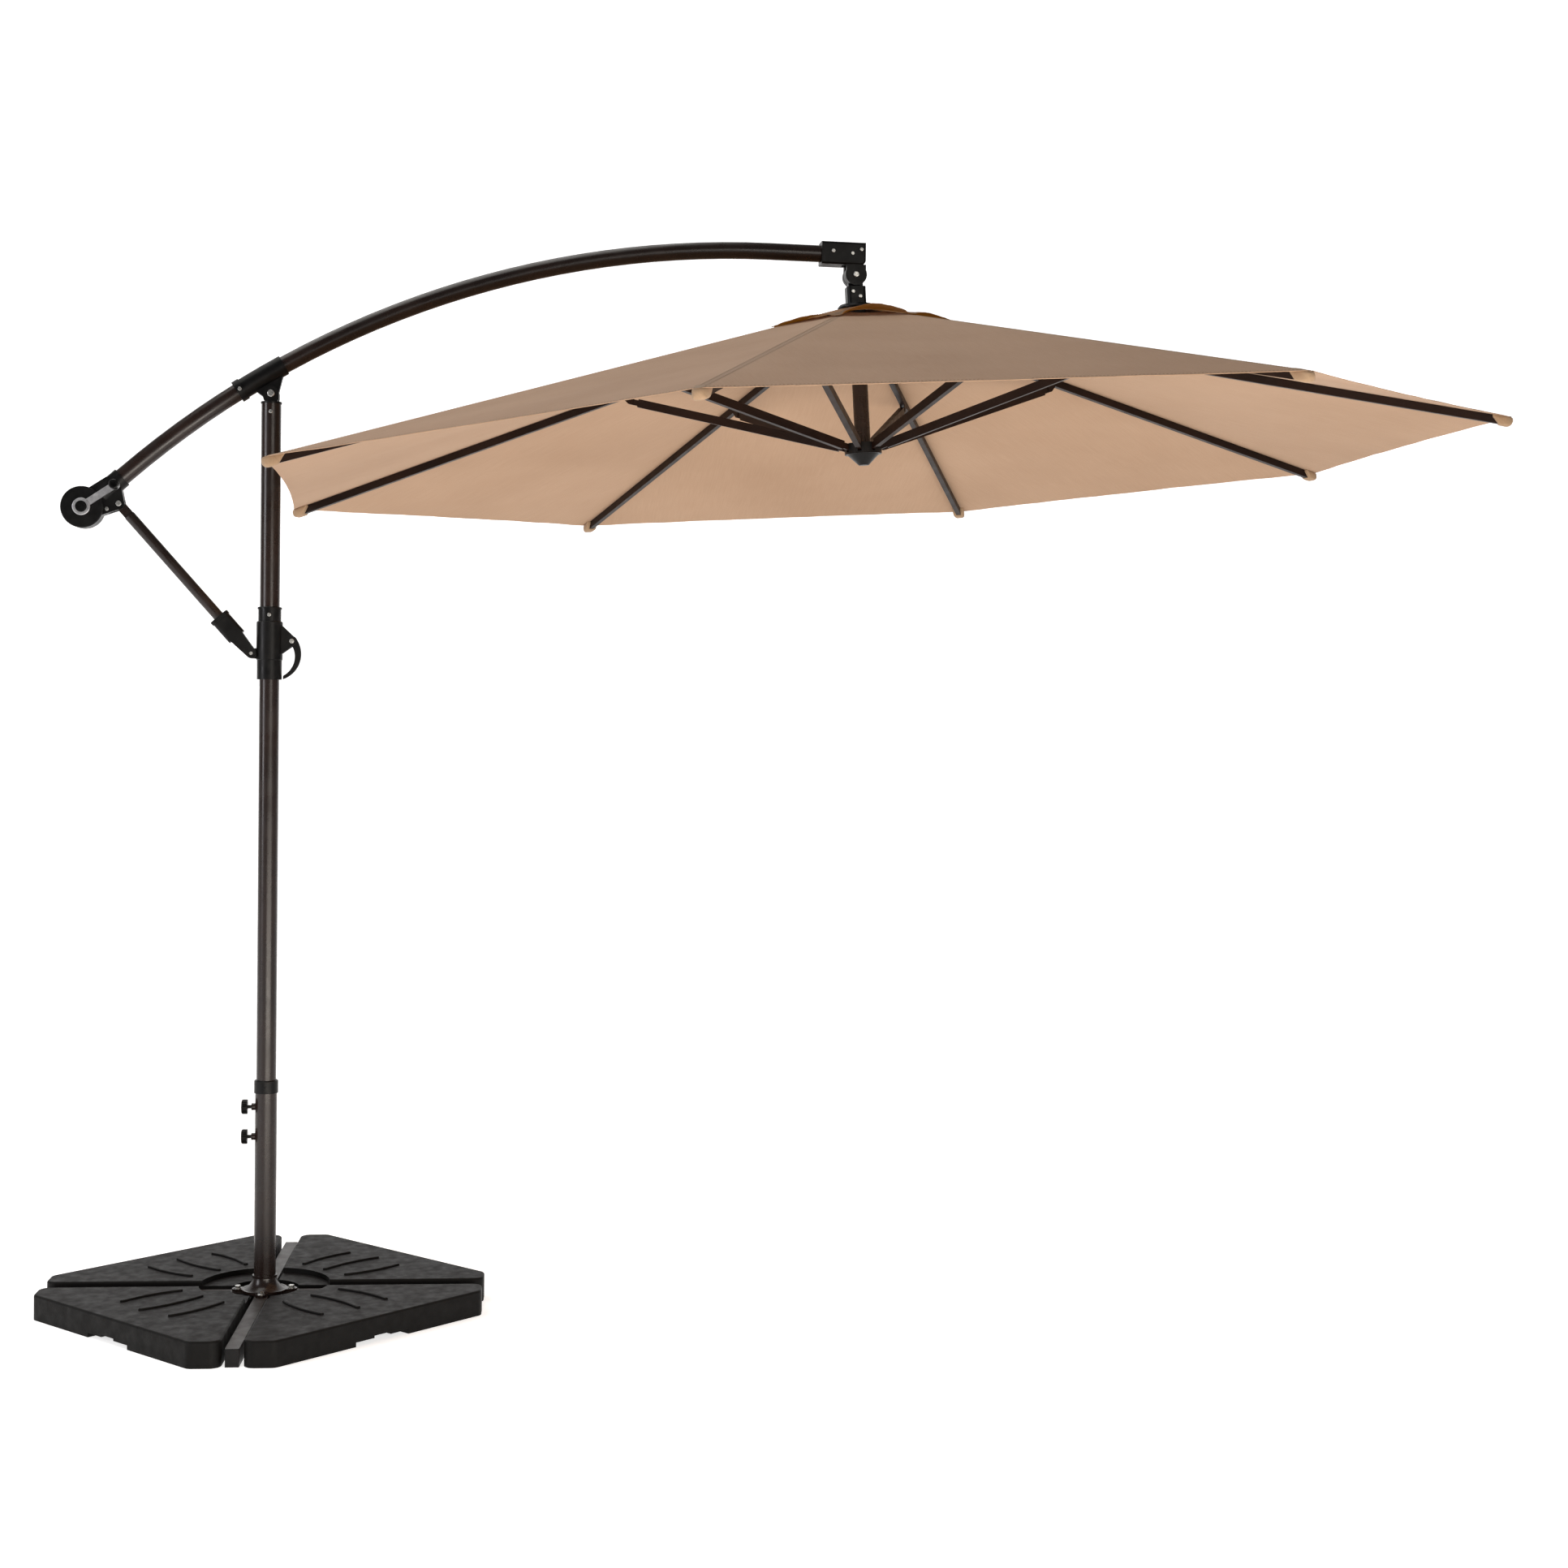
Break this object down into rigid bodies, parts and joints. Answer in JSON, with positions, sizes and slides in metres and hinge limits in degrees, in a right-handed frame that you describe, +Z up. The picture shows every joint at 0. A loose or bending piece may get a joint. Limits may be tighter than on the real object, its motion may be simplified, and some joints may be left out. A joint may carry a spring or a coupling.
{
  "type": "offset patio umbrella",
  "caption": "Offset patio umbrella: tilting octagonal canopy hung from a curved arm on a swivelling mast, with winch, sliding strut and weighted cross base.",
  "frame": {"origin": "on the floor at the mast's axis, on the underside of the base's crossing bars", "axes": "+Z up along the mast, +X from the mast towards the canopy, -Y towards a person at the crank"},
  "size_m": [3.2997, 2.7716, 2.5457],
  "materials": {
    "frame_brown": "semi-gloss powder coat",
    "base_brown": "satin powder coat",
    "black_moulding": "fine-textured moulding",
    "gloss_black": "smooth moulding",
    "weight_black": "fine-textured moulding",
    "bright_steel": "plated",
    "crank_grey": "satin",
    "nylon": "smooth",
    "canopy_fabric": "woven polyester"
  },
  "bodies": {
    "base": {"cross_bar_long": "base_brown", "cross_bar_short": "base_brown", "bar_end_caps": "black_moulding", "weight_front_left": "weight_black", "weight_front_right": "weight_black", "weight_back_left": "weight_black", "weight_back_right": "weight_black", "post_flange": "frame_brown", "lower_post": "frame_brown", "flange_bolts": "bright_steel", "post_collar": "black_moulding", "mast_stop_plug": "black_moulding"},
    "upper_clamp": {"clamp_knob_upper": "black_moulding"},
    "lower_clamp": {"clamp_knob_lower": "black_moulding"},
    "mast": {"mast_tube": "frame_brown", "mast_top_cap": "black_moulding", "mast_fasteners": "bright_steel", "slider_stop_collar": "black_moulding"},
    "arm": {"arm_tube": "frame_brown", "arm_saddle": "black_moulding", "winch_case_front": "black_moulding", "winch_case_back": "black_moulding", "elbow": "black_moulding", "arm_fasteners": "bright_steel", "tilt_bolt": "bright_steel"},
    "pulley": {"elbow_pulley": "nylon"},
    "strut": {"strut_tube": "frame_brown", "strut_fitting": "black_moulding", "strut_pin": "bright_steel"},
    "slider": {"slider_body": "black_moulding", "lever_pin": "bright_steel"},
    "lever": {"grip_lever": "black_moulding"},
    "pad": {"lock_pad": "nylon"},
    "crank": {"crank_handle": "crank_grey", "crank_hub_cap": "gloss_black", "winch_spool": "nylon"},
    "crank_grip": {"crank_knob": "gloss_black"},
    "canopy_head": {"tilt_stem": "black_moulding", "stem_screws": "bright_steel", "rib_hub": "black_moulding", "centre_pole": "frame_brown", "vent_cap": "canopy_fabric", "canopy_cloth": "canopy_fabric"},
    "runner": {"runner": "black_moulding"},
    "rib_1": {"rib_1": "frame_brown"},
    "stretcher_1": {"stretcher_1": "frame_brown"},
    "rib_2": {"rib_2": "frame_brown"},
    "stretcher_2": {"stretcher_2": "frame_brown"},
    "rib_3": {"rib_3": "frame_brown"},
    "stretcher_3": {"stretcher_3": "frame_brown"},
    "rib_4": {"rib_4": "frame_brown"},
    "stretcher_4": {"stretcher_4": "frame_brown"},
    "rib_5": {"rib_5": "frame_brown"},
    "stretcher_5": {"stretcher_5": "frame_brown"},
    "rib_6": {"rib_6": "frame_brown"},
    "stretcher_6": {"stretcher_6": "frame_brown"},
    "rib_7": {"rib_7": "frame_brown"},
    "stretcher_7": {"stretcher_7": "frame_brown"},
    "rib_8": {"rib_8": "frame_brown"},
    "stretcher_8": {"stretcher_8": "frame_brown"}
  },
  "joints": [
    {"name": "mast_swivel", "type": "hinge", "parent": "base", "child": "mast", "pos_m": [0, 0, 0.3], "axis": [0, 0, 1], "continuous": true},
    {"name": "upper_clamp_turn", "type": "hinge", "parent": "base", "child": "upper_clamp", "pos_m": [-0.05, 0, 0.473], "axis": [-1, 0, 0], "range_deg": [0, 360]},
    {"name": "lower_clamp_turn", "type": "hinge", "parent": "base", "child": "lower_clamp", "pos_m": [-0.05, 0, 0.403], "axis": [-1, 0, 0], "range_deg": [0, 360]},
    {"name": "arm_lift", "type": "hinge", "parent": "mast", "child": "arm", "pos_m": [0, 0, 2.134], "axis": [0, -1, 0], "range_deg": [0, 30]},
    {"name": "strut_swing", "type": "hinge", "parent": "arm", "child": "strut", "pos_m": [-0.34, 0, 1.87], "axis": [0, -1, 0], "range_deg": [-60, 0]},
    {"name": "slider_level", "type": "hinge", "parent": "strut", "child": "slider", "pos_m": [-0.041, 0, 1.532], "axis": [0, -1, 0], "range_deg": [0, 30]},
    {"name": "lever_pull", "type": "hinge", "parent": "slider", "child": "lever", "pos_m": [0.051, 0, 1.562], "axis": [0, -1, 0], "range_deg": [0, 18], "stiffness_Nm_per_rad": 2, "springref_deg": -5.73},
    {"name": "pad_release", "type": "slide", "parent": "slider", "child": "pad", "axis": [1, 0, 0], "range_m": [0, 0.001]},
    {"name": "crank_turn", "type": "hinge", "parent": "arm", "child": "crank", "pos_m": [-0.42, -0.03, 1.859], "axis": [0, -1, 0], "range_deg": [0, 2925]},
    {"name": "crank_grip_spin", "type": "hinge", "parent": "crank", "child": "crank_grip", "pos_m": [-0.34592, -0.05, 1.91011], "axis": [0, 1, 0], "continuous": true},
    {"name": "pulley_turn", "type": "hinge", "parent": "arm", "child": "pulley", "pos_m": [1.36567, 0, 2.51902], "axis": [0, 1, 0], "range_deg": [0, 3343]},
    {"name": "canopy_tilt", "type": "hinge", "parent": "arm", "child": "canopy_head", "pos_m": [1.37467, 0, 2.46902], "axis": [0, -1, 0], "range_deg": [0, 25]},
    {"name": "rib_1_fold", "type": "hinge", "parent": "canopy_head", "child": "rib_1", "pos_m": [1.41208, 0.01301, 2.37724], "axis": [-0.3819, 0.9239, -0.0247], "range_deg": [0, 70], "deforming": ["canopy_cloth", "vent_cap"]},
    {"name": "stretcher_1_fold", "type": "hinge", "parent": "rib_1", "child": "stretcher_1", "pos_m": [1.92693, 0.2224, 2.24922], "axis": [-0.3819, 0.9239, -0.0247], "range_deg": [-140, 0]},
    {"name": "rib_2_fold", "type": "hinge", "parent": "canopy_head", "child": "rib_2", "pos_m": [1.39372, 0.03141, 2.37606], "axis": [-0.922, 0.3827, -0.0596], "range_deg": [0, 70]},
    {"name": "stretcher_2_fold", "type": "hinge", "parent": "rib_2", "child": "stretcher_2", "pos_m": [1.61306, 0.53692, 2.22892], "axis": [-0.922, 0.3827, -0.0596], "range_deg": [-140, 0]},
    {"name": "rib_3_fold", "type": "hinge", "parent": "canopy_head", "child": "rib_3", "pos_m": [1.36775, 0.03141, 2.37438], "axis": [-0.922, -0.3827, -0.0596], "range_deg": [0, 70]},
    {"name": "stretcher_3_fold", "type": "hinge", "parent": "rib_3", "child": "stretcher_3", "pos_m": [1.16919, 0.53692, 2.20022], "axis": [-0.922, -0.3827, -0.0596], "range_deg": [-140, 0]},
    {"name": "rib_4_fold", "type": "hinge", "parent": "canopy_head", "child": "rib_4", "pos_m": [1.34939, 0.01301, 2.37319], "axis": [-0.3819, -0.9239, -0.0247], "range_deg": [0, 70]},
    {"name": "stretcher_4_fold", "type": "hinge", "parent": "rib_4", "child": "stretcher_4", "pos_m": [0.85532, 0.2224, 2.17992], "axis": [-0.3819, -0.9239, -0.0247], "range_deg": [-140, 0]},
    {"name": "rib_5_fold", "type": "hinge", "parent": "canopy_head", "child": "rib_5", "pos_m": [1.34939, -0.01301, 2.37319], "axis": [0.3819, -0.9239, 0.0247], "range_deg": [0, 70]},
    {"name": "stretcher_5_fold", "type": "hinge", "parent": "rib_5", "child": "stretcher_5", "pos_m": [0.85532, -0.2224, 2.17992], "axis": [0.3819, -0.9239, 0.0247], "range_deg": [-140, 0]},
    {"name": "rib_6_fold", "type": "hinge", "parent": "canopy_head", "child": "rib_6", "pos_m": [1.36775, -0.03141, 2.37438], "axis": [0.922, -0.3827, 0.0596], "range_deg": [0, 70]},
    {"name": "stretcher_6_fold", "type": "hinge", "parent": "rib_6", "child": "stretcher_6", "pos_m": [1.16919, -0.53692, 2.20022], "axis": [0.922, -0.3827, 0.0596], "range_deg": [-140, 0]},
    {"name": "rib_7_fold", "type": "hinge", "parent": "canopy_head", "child": "rib_7", "pos_m": [1.39372, -0.03141, 2.37606], "axis": [0.922, 0.3827, 0.0596], "range_deg": [0, 70]},
    {"name": "stretcher_7_fold", "type": "hinge", "parent": "rib_7", "child": "stretcher_7", "pos_m": [1.61306, -0.53692, 2.22892], "axis": [0.922, 0.3827, 0.0596], "range_deg": [-140, 0]},
    {"name": "rib_8_fold", "type": "hinge", "parent": "canopy_head", "child": "rib_8", "pos_m": [1.41208, -0.01301, 2.37724], "axis": [0.3819, 0.9239, 0.0247], "range_deg": [0, 70]},
    {"name": "stretcher_8_fold", "type": "hinge", "parent": "rib_8", "child": "stretcher_8", "pos_m": [1.92693, -0.2224, 2.24922], "axis": [0.3819, 0.9239, 0.0247], "range_deg": [-140, 0]},
    {"name": "runner_level", "type": "hinge", "parent": "stretcher_1", "child": "runner", "pos_m": [1.43286, 0.01301, 2.05595], "axis": [-0.3819, 0.9239, -0.0247], "range_deg": [0, 70]}
  ],
  "couplings": [
    {"joint": "strut_swing", "follows": "arm_lift", "ratio": -1.8521},
    {"joint": "slider_level", "follows": "arm_lift", "ratio": 0.8521},
    {"joint": "pad_release", "follows": "lever_pull", "m_per_rad": 0.003},
    {"joint": "stretcher_1_fold", "follows": "rib_1_fold", "ratio": -2},
    {"joint": "rib_2_fold", "follows": "rib_1_fold", "ratio": 1},
    {"joint": "stretcher_2_fold", "follows": "rib_1_fold", "ratio": -2},
    {"joint": "rib_3_fold", "follows": "rib_1_fold", "ratio": 1},
    {"joint": "stretcher_3_fold", "follows": "rib_1_fold", "ratio": -2},
    {"joint": "rib_4_fold", "follows": "rib_1_fold", "ratio": 1},
    {"joint": "stretcher_4_fold", "follows": "rib_1_fold", "ratio": -2},
    {"joint": "rib_5_fold", "follows": "rib_1_fold", "ratio": 1},
    {"joint": "stretcher_5_fold", "follows": "rib_1_fold", "ratio": -2},
    {"joint": "rib_6_fold", "follows": "rib_1_fold", "ratio": 1},
    {"joint": "stretcher_6_fold", "follows": "rib_1_fold", "ratio": -2},
    {"joint": "rib_7_fold", "follows": "rib_1_fold", "ratio": 1},
    {"joint": "stretcher_7_fold", "follows": "rib_1_fold", "ratio": -2},
    {"joint": "rib_8_fold", "follows": "rib_1_fold", "ratio": 1},
    {"joint": "stretcher_8_fold", "follows": "rib_1_fold", "ratio": -2},
    {"joint": "runner_level", "follows": "rib_1_fold", "ratio": 1},
    {"joint": "crank_turn", "follows": "rib_1_fold", "ratio": 41.769},
    {"joint": "pulley_turn", "follows": "rib_1_fold", "ratio": 47.735}
  ]
}
